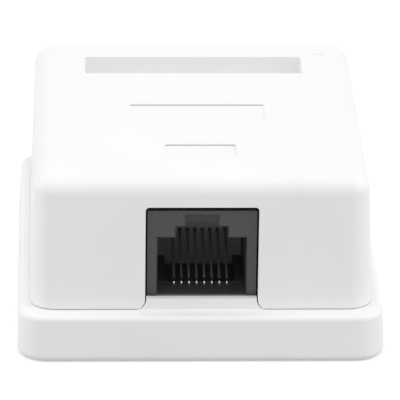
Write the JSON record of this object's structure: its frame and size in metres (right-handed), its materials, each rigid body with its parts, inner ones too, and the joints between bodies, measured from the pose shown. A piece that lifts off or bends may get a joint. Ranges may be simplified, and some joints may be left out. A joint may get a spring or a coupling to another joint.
{
  "type": "surface mount jack box",
  "caption": "Low wall box with a lift-off cover, an eight way modular jack in its front face and a wiring board inside.",
  "frame": {"origin": "middle of the base's underside, in the plane of the wall it is fixed to", "axes": "+Z out from the wall, -Y the way the jack faces, X across"},
  "size_m": [0.049, 0.0582, 0.025],
  "materials": {
    "white_abs": "fine satin moulding",
    "black_plastic": "satin moulding",
    "charcoal_plastic": "satin moulding",
    "green_laminate": "solder mask",
    "foam_tape": "closed cell foam",
    "gold_wire": "bright plating",
    "grey_plastic": "satin moulding",
    "clear_white_plastic": "satin moulding",
    "zinc_screw": "bright zinc plate",
    "tinned_bronze": "bright tin plate"
  },
  "bodies": {
    "base_unit": {"base": "white_abs", "jack_housing": "black_plastic", "contact_carrier": "charcoal_plastic", "circuit_board": "green_laminate", "adhesive_pad": "foam_tape", "contact_1": "gold_wire", "contact_2": "gold_wire", "contact_3": "gold_wire", "contact_4": "gold_wire", "contact_5": "gold_wire", "contact_6": "gold_wire", "contact_7": "gold_wire", "contact_8": "gold_wire", "wire_block_left": "grey_plastic", "wire_block_right": "grey_plastic", "board_screw_left": "zinc_screw", "board_screw_right": "zinc_screw", "terminal_1": "tinned_bronze", "terminal_2": "tinned_bronze", "terminal_3": "tinned_bronze", "terminal_4": "tinned_bronze", "terminal_5": "tinned_bronze", "terminal_6": "tinned_bronze", "terminal_7": "tinned_bronze", "terminal_8": "tinned_bronze"},
    "cover": {"cover": "white_abs"},
    "left_cap": {"wire_cap_left": "clear_white_plastic"},
    "right_cap": {"wire_cap_right": "clear_white_plastic"}
  },
  "joints": [
    {"name": "cover_lift", "type": "slide", "parent": "base_unit", "child": "cover", "axis": [0, 0, 1], "range_m": [0, 0.018]},
    {"name": "left_cap_lift", "type": "slide", "parent": "base_unit", "child": "left_cap", "axis": [0, 0, 1], "range_m": [0, 0.005]},
    {"name": "right_cap_lift", "type": "slide", "parent": "base_unit", "child": "right_cap", "axis": [0, 0, 1], "range_m": [0, 0.005]}
  ]
}
